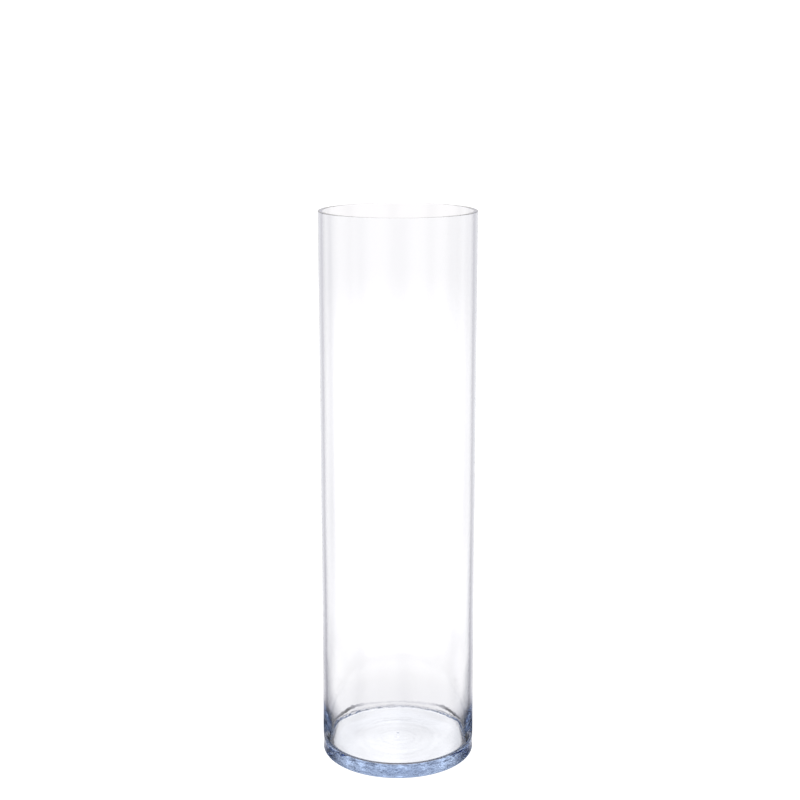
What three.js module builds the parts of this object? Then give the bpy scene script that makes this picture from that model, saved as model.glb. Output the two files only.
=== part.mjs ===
// Glass cylinder vase, as florists use for tall stems.
// It is one piece of clear glass: a thin straight wall that thickens near its foot and runs
// into a heavy floor. It has no joint, seam, insert or fastener.
// Units are millimetres and +Z is up. The origin is on the axis, in the plane that the vase stands on.

import * as THREE from 'three';

// Driving dimensions.
const HEIGHT = 360;
const OUTER_RADIUS = 50;
const WALL = 2.8;
const FLOOR_HEIGHT = 8.4;

// Rim: ground flat, with both edges broken by the polishing.
const RIM_BEVEL = 0.5;

// Foot: a rounded heel, a flat ring that touches the table, and a shallow hollow inside the ring.
const HEEL_RADIUS = 2;
const CONTACT_RING_INNER_RADIUS = 41;
const HOLLOW_FLAT_RADIUS = 22;
const HOLLOW_DEPTH = 0.5;

// Inside of the foot: the wall gets thicker on its way down, and a fillet joins it to the floor.
const THICKENING_TOP = 36;
const THICKENING = 1;
const FILLET_RADIUS = 2.5;

// Facets.
const SIDES = 96;
const HEEL_STEPS = 3;
const FILLET_STEPS = 4;
const THICKENING_STEPS = 5;

const BORE_RADIUS = OUTER_RADIUS - WALL;
const FILLET_TOP = FLOOR_HEIGHT + FILLET_RADIUS;
const FOOT_BORE_RADIUS = BORE_RADIUS - THICKENING;

// Points on a circular arc in the profile plane, from one angle to the other, both ends included.
function arc(centreRadius, centreHeight, radius, startAngle, endAngle, steps) {
  const points = [];
  for (let i = 0; i <= steps; i += 1) {
    const angle = startAngle + ((endAngle - startAngle) * i) / steps;
    const r = centreRadius + radius * Math.cos(angle);
    const z = centreHeight + radius * Math.sin(angle);
    points.push(new THREE.Vector2(r, z));
  }
  return points;
}

// Underside and outer wall, from the axis up to the rim.
function outsideProfile() {
  const heelCentre = OUTER_RADIUS - HEEL_RADIUS;
  return [
    new THREE.Vector2(0, HOLLOW_DEPTH),
    new THREE.Vector2(HOLLOW_FLAT_RADIUS, HOLLOW_DEPTH),
    new THREE.Vector2(CONTACT_RING_INNER_RADIUS, 0),
    ...arc(heelCentre, HEEL_RADIUS, HEEL_RADIUS, -Math.PI / 2, 0, HEEL_STEPS),
    new THREE.Vector2(OUTER_RADIUS, HEIGHT - RIM_BEVEL),
  ];
}

// The flat ground top of the wall, between its two bevels.
function rimProfile() {
  return [
    new THREE.Vector2(OUTER_RADIUS - RIM_BEVEL, HEIGHT),
    new THREE.Vector2(BORE_RADIUS + RIM_BEVEL, HEIGHT),
    new THREE.Vector2(BORE_RADIUS, HEIGHT - RIM_BEVEL),
  ];
}

// The stretch of the bore where the wall thickens, as half a cosine wave from nothing to THICKENING.
function thickeningProfile() {
  const points = [];
  for (let i = 0; i < THICKENING_STEPS; i += 1) {
    const share = i / THICKENING_STEPS;
    const r = BORE_RADIUS - (THICKENING * (1 - Math.cos(Math.PI * share))) / 2;
    const z = THICKENING_TOP + (FILLET_TOP - THICKENING_TOP) * share;
    points.push(new THREE.Vector2(r, z));
  }
  return points;
}

// Bore, fillet and floor, from the rim down to the axis.
function insideProfile() {
  const filletCentre = FOOT_BORE_RADIUS - FILLET_RADIUS;
  return [
    ...thickeningProfile(),
    ...arc(filletCentre, FILLET_TOP, FILLET_RADIUS, 0, -Math.PI / 2, FILLET_STEPS),
    new THREE.Vector2(0, FLOOR_HEIGHT),
  ];
}

function glassBody() {
  const profile = [...outsideProfile(), ...rimProfile(), ...insideProfile()];
  const geometry = new THREE.LatheGeometry(profile, SIDES);
  geometry.rotateX(Math.PI / 2);
  const material = new THREE.MeshStandardMaterial({
    color: 0xdfe2f0,
    roughness: 0.04,
    metalness: 0,
    transparent: true,
    opacity: 0.35,
  });
  const mesh = new THREE.Mesh(geometry, material);
  mesh.name = 'glass_body';
  return mesh;
}

const vase = new THREE.Group();
vase.add(glassBody());

export default vase;
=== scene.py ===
import math

import bpy
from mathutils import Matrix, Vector, noise


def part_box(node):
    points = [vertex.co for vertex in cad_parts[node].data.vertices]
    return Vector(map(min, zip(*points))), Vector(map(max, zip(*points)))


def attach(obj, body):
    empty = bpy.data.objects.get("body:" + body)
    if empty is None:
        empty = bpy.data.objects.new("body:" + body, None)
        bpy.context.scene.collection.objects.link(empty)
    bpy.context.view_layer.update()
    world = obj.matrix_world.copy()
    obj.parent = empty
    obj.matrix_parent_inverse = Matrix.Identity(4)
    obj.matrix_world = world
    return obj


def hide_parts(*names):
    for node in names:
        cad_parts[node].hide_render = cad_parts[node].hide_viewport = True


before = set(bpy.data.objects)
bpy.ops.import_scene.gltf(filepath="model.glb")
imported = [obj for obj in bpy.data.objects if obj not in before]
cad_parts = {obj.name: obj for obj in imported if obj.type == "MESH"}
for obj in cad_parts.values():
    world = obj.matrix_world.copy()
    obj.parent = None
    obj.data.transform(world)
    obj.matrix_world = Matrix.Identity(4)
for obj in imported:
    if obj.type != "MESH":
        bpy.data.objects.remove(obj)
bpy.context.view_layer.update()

# A tall clear glass cylinder vase on a pale floor, in bright, even studio light.
# Lengths are millimetres, and MM turns them into Blender's metres. Angles are degrees.
MM = 0.001

glass_low, glass_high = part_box("glass_body")
HEIGHT = (glass_high.z - glass_low.z) / MM
OUTER_RADIUS = (glass_high.x - glass_low.x) / 2 / MM

# The shape of the glass, as in the CAD model, with its edges and curves made smooth.
WALL = 2.8
FLOOR_HEIGHT = 8.4
RIM_ROUNDING = 0.3
HEEL_RADIUS = 2.0
CONTACT_RING_INNER_RADIUS = 41.0
HOLLOW_FLAT_RADIUS = 22.0
HOLLOW_DEPTH = 0.5
THICKENING_TOP = 36.0
THICKENING = 1.0
FILLET_RADIUS = 2.5
BORE_RADIUS = OUTER_RADIUS - WALL
FOOT_BORE_RADIUS = BORE_RADIUS - THICKENING
FILLET_TOP = FLOOR_HEIGHT + FILLET_RADIUS
RIM_SHOULDER = HEIGHT - RIM_ROUNDING

# The small nub in the middle of the floor, and the shallow rings round it: (radius, width, height).
NUB_RADIUS = 1.5
NUB_HEIGHT = 0.3
FLOOR_RINGS = ((12, 0.8, 0.03), (17, 1.0, 0.02), (24, 1.2, 0.03))

# The wrinkles that a cool mould leaves round the foot. They are squashed in height, and the fine ones are
# a smaller copy of the coarse ones, taken from another place. The shares are of the whole depth.
WRINKLE_TOP = 12.0
WRINKLE_DEPTH = 0.7
WRINKLE_LENGTH = 3.6
WRINKLE_SQUASH = 1.2
FINE_WRINKLE_SCALE = 2.1
FINE_WRINKLE_PLACE = (7, 3, 1)
EVEN_SHARE = 0.5
COARSE_SHARE = 0.36
FINE_SHARE = 0.14

# The finer hammered skin over the wrinkles, which is in the material and only skin deep. HAMMER_SCALE is
# per metre.
HAMMER_SCALE = 450.0
HAMMER_DEPTH = 0.25
HAMMER_TOP = 10.0
SMOOTH_STRENGTH = 0.06
SKIN_DEPTH = 1.0

# The mesh: faces round the axis, the radius of the smallest ring of points, the gap between an edge's
# rounding and the row that keeps the wall beside it straight, and the rows of each stretch of the profile.
SEGMENTS = 360
POLE_RADIUS = 0.15
SUPPORT_GAP = 0.1
HOLLOW_ROWS = 30
HOLLOW_SLOPE_ROWS = 10
CONTACT_RING_ROWS = 8
HEEL_ROWS = 10
WRINKLE_ROWS = 26
WALL_ROWS = 8
RIM_EDGE_ROWS = 8
RIM_ROWS = 6
THICKENING_ROWS = 24
FILLET_ROWS = 14
FLOOR_ROWS = 90
NUB_ROWS = 16

# The floor and the even white room over it.
FLOOR_SIZE = 30000.0
FLOOR_DROP = 0.1
FLOOR_WHITE = 0.9
ROOM_BRIGHTNESS = 1.35

# The glass itself is lit as in a bright-field product picture: a bright table and backdrop straight behind
# it, with grey and dark screens beside it. Only rays that leave the glass see this surround.
# A bearing is how far a place lies to the left of straight behind the vase, and a turn is how far it lies
# from straight behind to either side. In a pair of turns or distances, the change runs from the first
# number to the second.
SURROUND_RADIUS = 6000.0
SURROUND_SEGMENTS = 240
TABLE_START = 0.5
TABLE_FINE_RADIUS = 100
TABLE_FINE_ROWS = 200
TABLE_COARSE_ROWS = 84
TABLE_ROW_GROWTH = 1.05
DOME_ROWS = 60

# Tint of the light, red, green and blue, and the blue that is added where it is dark.
TINT = (0.99, 0.97, 0.972)
SHADE_BLUE = 0.13

# The table under the foot, with faint rings, (radius, width, darkness), and the shadow of the foot ring,
# which is shifted back, so it is wide in front.
UNDER_RADIUS = OUTER_RADIUS - 1.0
UNDER_CENTRE_WHITE = 1.0
UNDER_EDGE_WHITE = 1.12
UNDER_DISTANCES = (10, 42)
UNDER_RINGS = ((1.7, 0.5, 0.12), (12, 1.0, 0.08), (16, 1.0, 0.05), (24, 1.5, 0.06), (29, 1.2, 0.04))
SHADOW_SHIFT = 6.0
SHADOW_DISTANCES = (43.5, 46.5)
SHADOW_BACK_DARKNESS = 0.15
SHADOW_FRONT_DARKNESS = 0.84
SHADOW_TURNS = (30, 110)

# The bright table behind the vase.
TABLE_NEAR_WHITE = 0.94
TABLE_WHITE = 1.32
TABLE_FAR_WHITE = 1.04
TABLE_NEAR_DISTANCES = (60, 260)
TABLE_FAR_DISTANCES = (900, 2400)

# Three thin lines of painted shade on the table close behind the foot, which the glass shows as dark lines
# round its foot. The middle one is an arc that comes nearer to the vase beyond a certain turn.
BACK_SHADE_LINE = (54, 3, 0.3)
BACK_SHADE_LINE_TURNS = (40, 15)
ARC_RADIUS = 73
ARC_BEND_TURN = 28
ARC_BEND = 0.4
ARC_EDGE = (2.2, 0.9)
ARC_BACK_DARKNESS = 0.2
ARC_SIDE_DARKNESS = 1.0
ARC_DARK_TURNS = (18, 36)
ARC_END_TURNS = (90, 70)
EDGE_SHADE_LINE = (56, 2, 0.85)
EDGE_SHADE_LINE_TURNS = (26, 36)
EDGE_SHADE_LINE_END_TURNS = (80, 66)

# How far round from the main backdrop the table stays white, where it has become dark, how dark it gets,
# and where it turns light again: (distance from the vase, value) pairs.
WHITE_UNTIL = ((56, 75), (63, 34), (90, 34), (210, 8), (600, 0))
DARK_FROM = ((56, 110), (63, 64), (90, 66), (210, 50), (600, 36))
DARK_TONE = ((74, 0.02), (90, 0.1), (130, 0.32), (210, 0.5), (600, 0.68))
LIGHT_FROM = ((62, 180), (78, 104), (110, 90), (160, 66), (210, 50), (600, 40))
LIGHT_RISE = 14

# The light table beside and in front of the vase, with grey flags that give the glass its streaks.
SIDE_WHITE = 1.12
FLAG_BEARINGS = (68, 126, 187, 263)
FLAG_WIDTH = 10
FLAG_DARKNESS = 0.5

# The dome: patches of light behind the vase, with a bright strip in the middle, dark to the sides, and
# grey windows. Its lowest part is as light as the table's far edge.
PATCH_WHITE = 0.92
PATCH_HEIGHT_WAVE = 0.45
PATCH_HEIGHT_WAVES = 28
PATCH_ROUND_WAVE = 0.25
PATCH_ROUND_WAVES = 31
STRIP_LIGHT = 0.6
STRIP_TURNS = (2.5, 0.8)
SKY_DARK = 0.03
SKY_DARK_TURNS = (30, 60)
WINDOW_BEARINGS = (90, 135, 180, 225, 270)
WINDOW_TONE = 0.5
WINDOW_TURNS = (14, 8)
SKY_START = 10
SKY_SIDE_START = 2
SKY_SIDE_TURNS = (44, 52)
SKY_BESIDE_WINDOW_TURNS = (10, 18)
SKY_RISE = 7

# The camera looks down at the vase from the front.
CAMERA_DISTANCE = 950.0
CAMERA_HEIGHT = 453.0
CAMERA_PITCH = 12.71
CAMERA_YAW = -0.08
CAMERA_LENS = 68.42


def spaced(start, end, steps):
    """Evenly spaced values from start up to, but not including, end."""
    return [start + (end - start) * i / steps for i in range(steps)]


def arc(centre_radius, centre_height, radius, start, end, steps):
    """Points of a circular arc in the profile plane, with the last one left out."""
    points = []
    for angle in spaced(math.radians(start), math.radians(end), steps):
        r = centre_radius + radius * math.cos(angle)
        z = centre_height + radius * math.sin(angle)
        points.append((r, z))
    return points


def eased(share):
    """0 to 1 with a level start and end."""
    return (1 - math.cos(math.pi * share)) / 2


def ring(r, radius, width, height):
    """A smooth bump of a given height round a radius."""
    return height * math.exp(-(((r - radius) / width) ** 2))


def mix(a, b, share):
    return a + (b - a) * share


def smooth_step(value, low, high):
    """0 at low, 1 at high, and a smooth change between them. Low may be the greater of the two."""
    share = min(max((value - low) / (high - low), 0.0), 1.0)
    return share * share * (3 - 2 * share)


def underside_profile():
    points = [(r, HOLLOW_DEPTH) for r in spaced(POLE_RADIUS, HOLLOW_FLAT_RADIUS, HOLLOW_ROWS)]
    for share in spaced(0, 1, HOLLOW_SLOPE_ROWS):
        r = mix(HOLLOW_FLAT_RADIUS, CONTACT_RING_INNER_RADIUS, share)
        points.append((r, HOLLOW_DEPTH * (1 - eased(share))))
    heel_centre = OUTER_RADIUS - HEEL_RADIUS
    points += [(r, 0.0) for r in spaced(CONTACT_RING_INNER_RADIUS, heel_centre, CONTACT_RING_ROWS)]
    return points + arc(heel_centre, HEEL_RADIUS, HEEL_RADIUS, -90, 0, HEEL_ROWS)


def outer_wall_profile():
    wall_top = RIM_SHOULDER - SUPPORT_GAP
    points = [(OUTER_RADIUS, z) for z in spaced(HEEL_RADIUS, WRINKLE_TOP, WRINKLE_ROWS)]
    points += [(OUTER_RADIUS, z) for z in spaced(WRINKLE_TOP, wall_top, WALL_ROWS)]
    points.append((OUTER_RADIUS, wall_top))
    return points + arc(OUTER_RADIUS - RIM_ROUNDING, RIM_SHOULDER, RIM_ROUNDING, 0, 90, RIM_EDGE_ROWS)


def rim_profile():
    outer_edge = OUTER_RADIUS - RIM_ROUNDING
    inner_edge = BORE_RADIUS + RIM_ROUNDING
    points = [(r, HEIGHT) for r in spaced(outer_edge, inner_edge, RIM_ROWS)]
    return points + arc(inner_edge, RIM_SHOULDER, RIM_ROUNDING, 90, 180, RIM_EDGE_ROWS)


def bore_profile():
    points = [(BORE_RADIUS, RIM_SHOULDER)]
    points += [(BORE_RADIUS, z) for z in spaced(RIM_SHOULDER - SUPPORT_GAP, THICKENING_TOP, WALL_ROWS)]
    for share in spaced(0, 1, THICKENING_ROWS):
        z = mix(THICKENING_TOP, FILLET_TOP, share)
        points.append((BORE_RADIUS - THICKENING * eased(share), z))
    return points


def floor_profile():
    centre = FOOT_BORE_RADIUS - FILLET_RADIUS
    points = arc(centre, FILLET_TOP, FILLET_RADIUS, 0, -90, FILLET_ROWS)
    points += [(r, FLOOR_HEIGHT) for r in spaced(centre, 2 * NUB_RADIUS, FLOOR_ROWS)]
    points += [(r, FLOOR_HEIGHT) for r in spaced(2 * NUB_RADIUS, POLE_RADIUS, NUB_ROWS)]
    points.append((POLE_RADIUS, FLOOR_HEIGHT))
    return points


def wrinkle(x, y, z):
    """How far the outer skin sinks in at a point near the foot."""
    fade = 1 - eased(min(max(z / WRINKLE_TOP, 0), 1))
    place = Vector((x, y, z * WRINKLE_SQUASH)) / WRINKLE_LENGTH
    coarse = noise.noise(place)
    fine = noise.noise(place * FINE_WRINKLE_SCALE + Vector(FINE_WRINKLE_PLACE))
    return WRINKLE_DEPTH * fade * (EVEN_SHARE + COARSE_SHARE * coarse + FINE_SHARE * fine)


def floor_relief(r):
    """How far the nub and the rings stand up from the inner floor."""
    nub = NUB_HEIGHT * (1 - eased(min(r / NUB_RADIUS, 1)))
    return nub + sum(ring(r, *shape) for shape in FLOOR_RINGS)


def skin_point(kind, r, z, angle):
    """A point of the glass, with its small relief added."""
    x, y = r * math.cos(angle), r * math.sin(angle)
    if kind == "outside" and z < WRINKLE_TOP:
        r -= wrinkle(x, y, z)
    if kind == "floor":
        z += floor_relief(r)
    return (r * math.cos(angle) * MM, r * math.sin(angle) * MM, z * MM)


def rows_of_faces(row_count, segments):
    """The faces between neighbouring rows of points, each row running once round the axis."""
    faces = []
    for row in range(row_count - 1):
        for i in range(segments):
            j = (i + 1) % segments
            low, high = row * segments, (row + 1) * segments
            faces.append((low + i, low + j, high + j, high + i))
    return faces


def add_mesh(name, vertices, faces, material):
    mesh = bpy.data.meshes.new(name)
    mesh.from_pydata(vertices, [], faces)
    mesh.materials.append(material)
    obj = bpy.data.objects.new(name, mesh)
    bpy.context.scene.collection.objects.link(obj)
    return obj


def make_glass(material):
    """The vase as one closed skin, from the middle of the underside round to the middle of the floor."""
    rows = [("under", r, z) for r, z in underside_profile()]
    rows += [("outside", r, z) for r, z in outer_wall_profile()]
    rows += [("rim", r, z) for r, z in rim_profile()]
    rows += [("bore", r, z) for r, z in bore_profile()]
    rows += [("floor", r, z) for r, z in floor_profile()]
    angles = spaced(0, 2 * math.pi, SEGMENTS)
    vertices = [skin_point(kind, r, z, a) for kind, r, z in rows for a in angles]
    faces = rows_of_faces(len(rows), SEGMENTS)
    last_row = (len(rows) - 1) * SEGMENTS
    bottom = len(vertices)
    vertices.append((0, 0, HOLLOW_DEPTH * MM))
    vertices.append((0, 0, (FLOOR_HEIGHT + floor_relief(0)) * MM))
    for i in range(SEGMENTS):
        j = (i + 1) % SEGMENTS
        faces.append((bottom, j, i))
        faces.append((bottom + 1, last_row + i, last_row + j))
    glass = add_mesh("vase_glass", vertices, faces, material)
    glass.data.shade_smooth()
    return glass


def clear_glass():
    """Clear glass with a pale blue body and a hammered skin that fades out above the foot."""
    material = bpy.data.materials.new("clear_glass")
    material.use_nodes = True
    nodes, links = material.node_tree.nodes, material.node_tree.links
    shader = nodes["Principled BSDF"]
    shader.inputs["Base Color"].default_value = (1.0, 1.0, 1.0, 1.0)
    shader.inputs["Transmission Weight"].default_value = 1.0
    shader.inputs["Roughness"].default_value = 0.0
    shader.inputs["IOR"].default_value = 1.5
    absorption = nodes.new("ShaderNodeVolumeAbsorption")
    absorption.inputs["Color"].default_value = (0.22, 0.47, 0.82, 1.0)
    absorption.inputs["Density"].default_value = 10.0
    links.new(absorption.outputs["Volume"], nodes["Material Output"].inputs["Volume"])

    # The skin is hammered near the foot.
    place = nodes.new("ShaderNodeTexCoord")
    split = nodes.new("ShaderNodeSeparateXYZ")
    links.new(place.outputs["Object"], split.inputs["Vector"])
    foot = nodes.new("ShaderNodeMapRange")
    foot.interpolation_type = "SMOOTHSTEP"
    foot.inputs["From Min"].default_value = HAMMER_TOP * MM
    foot.inputs["From Max"].default_value = HAMMER_TOP / 2 * MM
    foot.inputs["To Min"].default_value = SMOOTH_STRENGTH
    links.new(split.outputs["Z"], foot.inputs["Value"])

    # Only its outside is: the distance from the axis tells it from the floor and the bore.
    flat = nodes.new("ShaderNodeVectorMath")
    flat.operation = "MULTIPLY"
    flat.inputs[1].default_value = (1, 1, 0)
    links.new(place.outputs["Object"], flat.inputs[0])
    distance = nodes.new("ShaderNodeVectorMath")
    distance.operation = "LENGTH"
    links.new(flat.outputs["Vector"], distance.inputs[0])
    outer = nodes.new("ShaderNodeMapRange")
    outer.inputs["From Min"].default_value = BORE_RADIUS * MM
    outer.inputs["From Max"].default_value = (OUTER_RADIUS - SKIN_DEPTH) * MM
    outer.inputs["To Min"].default_value = SMOOTH_STRENGTH
    links.new(distance.outputs["Value"], outer.inputs["Value"])
    strength = nodes.new("ShaderNodeMath")
    strength.operation = "MINIMUM"
    links.new(foot.outputs["Result"], strength.inputs[0])
    links.new(outer.outputs["Result"], strength.inputs[1])

    hammer = nodes.new("ShaderNodeTexNoise")
    hammer.inputs["Scale"].default_value = HAMMER_SCALE
    hammer.inputs["Detail"].default_value = 1.0
    links.new(place.outputs["Object"], hammer.inputs["Vector"])
    bump = nodes.new("ShaderNodeBump")
    bump.inputs["Distance"].default_value = HAMMER_DEPTH * MM
    links.new(strength.outputs["Value"], bump.inputs["Strength"])
    links.new(hammer.outputs["Fac"], bump.inputs["Height"])
    links.new(bump.outputs["Normal"], shader.inputs["Normal"])
    return material


def make_floor():
    """A plain pale floor, a hair below the foot."""
    material = bpy.data.materials.new("pale_floor")
    material.use_nodes = True
    shader = material.node_tree.nodes["Principled BSDF"]
    shader.inputs["Base Color"].default_value = (FLOOR_WHITE, FLOOR_WHITE, FLOOR_WHITE, 1.0)
    shader.inputs["Roughness"].default_value = 1.0
    shader.inputs["Specular IOR Level"].default_value = 0.0
    half = FLOOR_SIZE / 2 * MM
    z = -FLOOR_DROP * MM
    corners = [(-half, -half, z), (half, -half, z), (half, half, z), (-half, half, z)]
    return add_mesh("floor", corners, [(0, 1, 2, 3)], material)


def light_room():
    """An even white room, which lights the floor and is what the camera sees behind the vase."""
    world = bpy.data.worlds.new("white_room")
    world.use_nodes = True
    world.node_tree.nodes["Background"].inputs["Color"].default_value = (1, 1, 1, 1)
    world.node_tree.nodes["Background"].inputs["Strength"].default_value = ROOM_BRIGHTNESS
    bpy.context.scene.world = world


def turn_between(a, b):
    """The angle between two bearings."""
    return abs((a - b + 180) % 360 - 180)


def by_distance(radius, stops):
    """The value at a distance from the vase, changing smoothly from each stop to the next."""
    for (low, before), (high, after) in zip(stops, stops[1:]):
        if radius < high:
            return mix(before, after, smooth_step(radius, low, high))
    return stops[-1][1]


def under_vase_tone(turn, radius):
    """Brightness of the table under the vase, inside the foot's outer edge."""
    tone = mix(UNDER_CENTRE_WHITE, UNDER_EDGE_WHITE, smooth_step(radius, *UNDER_DISTANCES))
    rings = sum(ring(radius, *shape) for shape in UNDER_RINGS)
    angle = math.radians(turn)
    shifted = math.hypot(radius * math.sin(angle), radius * math.cos(angle) - SHADOW_SHIFT)
    darkness = mix(SHADOW_BACK_DARKNESS, SHADOW_FRONT_DARKNESS, smooth_step(turn, *SHADOW_TURNS))
    shadow = darkness * smooth_step(shifted, *SHADOW_DISTANCES)
    return tone * (1 - rings) * (1 - shadow)


def left_by_shade_lines(turn, radius):
    """The share of the table's light that the painted shade lines behind the foot leave."""
    back_shade = ring(radius, *BACK_SHADE_LINE) * smooth_step(turn, *BACK_SHADE_LINE_TURNS)
    from_arc = abs(radius - ARC_RADIUS + ARC_BEND * max(turn - ARC_BEND_TURN, 0))
    arc_shade = mix(ARC_BACK_DARKNESS, ARC_SIDE_DARKNESS, smooth_step(turn, *ARC_DARK_TURNS))
    arc_shade *= smooth_step(from_arc, *ARC_EDGE) * smooth_step(turn, *ARC_END_TURNS)
    edge_shade = ring(radius, *EDGE_SHADE_LINE) * smooth_step(turn, *EDGE_SHADE_LINE_TURNS)
    edge_shade *= smooth_step(turn, *EDGE_SHADE_LINE_END_TURNS)
    return (1 - back_shade) * (1 - arc_shade) * (1 - edge_shade)


def side_tone(bearing):
    """Brightness of the table beside and in front of the vase."""
    tone = SIDE_WHITE
    for flag in FLAG_BEARINGS:
        tone *= 1 - ring(turn_between(bearing, flag), 0, FLAG_WIDTH, FLAG_DARKNESS)
    return tone


def table_tone(bearing, radius):
    """Brightness of the table top as the glass sees it."""
    turn = turn_between(bearing, 0)
    if radius < UNDER_RADIUS:
        return under_vase_tone(turn, radius)
    white = mix(TABLE_NEAR_WHITE, TABLE_WHITE, smooth_step(radius, *TABLE_NEAR_DISTANCES))
    white = mix(white, TABLE_FAR_WHITE, smooth_step(radius, *TABLE_FAR_DISTANCES))
    # Painted shade: thin dark lines on the table close behind the foot.
    white *= left_by_shade_lines(turn, radius)
    beside = smooth_step(turn, by_distance(radius, WHITE_UNTIL), by_distance(radius, DARK_FROM))
    tone = mix(white, by_distance(radius, DARK_TONE), beside)
    light = by_distance(radius, LIGHT_FROM)
    return mix(tone, side_tone(bearing), smooth_step(turn, light, light + LIGHT_RISE))


def sky_tone(bearing, elevation):
    """Brightness of the dome as the glass sees it."""
    turn = turn_between(bearing, 0)
    window = min(turn_between(bearing, middle) for middle in WINDOW_BEARINGS)
    high = PATCH_WHITE + PATCH_HEIGHT_WAVE * math.sin(math.radians(elevation * PATCH_HEIGHT_WAVES))
    high += PATCH_ROUND_WAVE * math.sin(math.radians(bearing * PATCH_ROUND_WAVES))
    high += STRIP_LIGHT * smooth_step(turn, *STRIP_TURNS)
    high = mix(high, SKY_DARK, smooth_step(turn, *SKY_DARK_TURNS))
    high = mix(high, WINDOW_TONE, smooth_step(window, *WINDOW_TURNS))
    low = table_tone(bearing, SURROUND_RADIUS)
    beside = smooth_step(turn, *SKY_SIDE_TURNS) * smooth_step(window, *SKY_BESIDE_WINDOW_TURNS)
    start = mix(SKY_START, SKY_SIDE_START, beside)
    return mix(low, high, smooth_step(elevation, start, start + SKY_RISE))


def surround_rows():
    """The rows of the surround, from the middle of the table to near the top of the dome.

    Each is (radius, height, function that takes a bearing and gives the brightness there).
    """
    radii = spaced(TABLE_START, TABLE_FINE_RADIUS, TABLE_FINE_ROWS)
    radii += [TABLE_FINE_RADIUS * TABLE_ROW_GROWTH ** i for i in range(TABLE_COARSE_ROWS)]
    rows = []
    for radius in radii + [SURROUND_RADIUS]:
        rows.append((radius, -FLOOR_DROP / 2, lambda bearing, r=radius: table_tone(bearing, r)))
    for elevation in spaced(0, 90, DOME_ROWS):
        angle = math.radians(elevation)
        radius, height = SURROUND_RADIUS * math.cos(angle), SURROUND_RADIUS * math.sin(angle)
        rows.append((radius, height, lambda bearing, e=elevation: sky_tone(bearing, e)))
    return rows


def surround_light():
    """A material that shines as brightly as the mesh's tone says."""
    material = bpy.data.materials.new("surround")
    material.use_nodes = True
    nodes, links = material.node_tree.nodes, material.node_tree.links
    nodes.remove(nodes["Principled BSDF"])
    tone = nodes.new("ShaderNodeAttribute")
    tone.attribute_name = "tone"
    emission = nodes.new("ShaderNodeEmission")
    links.new(tone.outputs["Color"], emission.inputs["Color"])
    links.new(emission.outputs["Emission"], nodes["Material Output"].inputs["Surface"])
    return material


def make_surround():
    """A round table top and a dome over it, with their brightness in a colour attribute."""
    rows = surround_rows()
    vertices, tones = [], []
    for radius, height, tone_at in rows:
        for bearing in spaced(0, 360, SURROUND_SEGMENTS):
            x = -radius * math.sin(math.radians(bearing))
            y = radius * math.cos(math.radians(bearing))
            vertices.append((x * MM, y * MM, height * MM))
            tones.append(tone_at(bearing))
    faces = rows_of_faces(len(rows), SURROUND_SEGMENTS)
    surround = add_mesh("surround", vertices, faces, surround_light())
    attribute = surround.data.attributes.new("tone", "FLOAT_COLOR", "POINT")
    red, green, blue = TINT
    for i, tone in enumerate(tones):
        shade = min(max(1 - tone, 0.0), 1.0)
        colour = (tone * red, tone * green, tone * (blue + SHADE_BLUE * shade), 1.0)
        attribute.data[i].color = colour
    surround.visible_camera = False
    surround.visible_diffuse = False
    surround.visible_shadow = False
    surround.visible_volume_scatter = False
    return surround


def make_camera():
    data = bpy.data.cameras.new("camera")
    data.lens = CAMERA_LENS
    data.sensor_width = 36.0
    data.clip_start = 0.01
    data.clip_end = 100.0
    camera = bpy.data.objects.new("camera", data)
    camera.location = (0, -CAMERA_DISTANCE * MM, CAMERA_HEIGHT * MM)
    camera.rotation_euler = (math.radians(90 - CAMERA_PITCH), 0, math.radians(CAMERA_YAW))
    bpy.context.scene.collection.objects.link(camera)
    bpy.context.scene.camera = camera


# The glass throws no shadow and no stain on the floor, which stays plain white.
glass = make_glass(clear_glass())
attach(glass, "root")
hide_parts("glass_body")
glass.visible_diffuse = False
glass.visible_shadow = False

floor = make_floor()
light_room()
make_surround()
make_camera()

# Light runs far inside the thick foot, so it needs many bounces, and sharp ones.
scene = bpy.context.scene
scene.view_settings.view_transform = "Standard"
scene.cycles.blur_glossy = 0.0
scene.cycles.max_bounces = 40
scene.cycles.glossy_bounces = 32
scene.cycles.transmission_bounces = 40
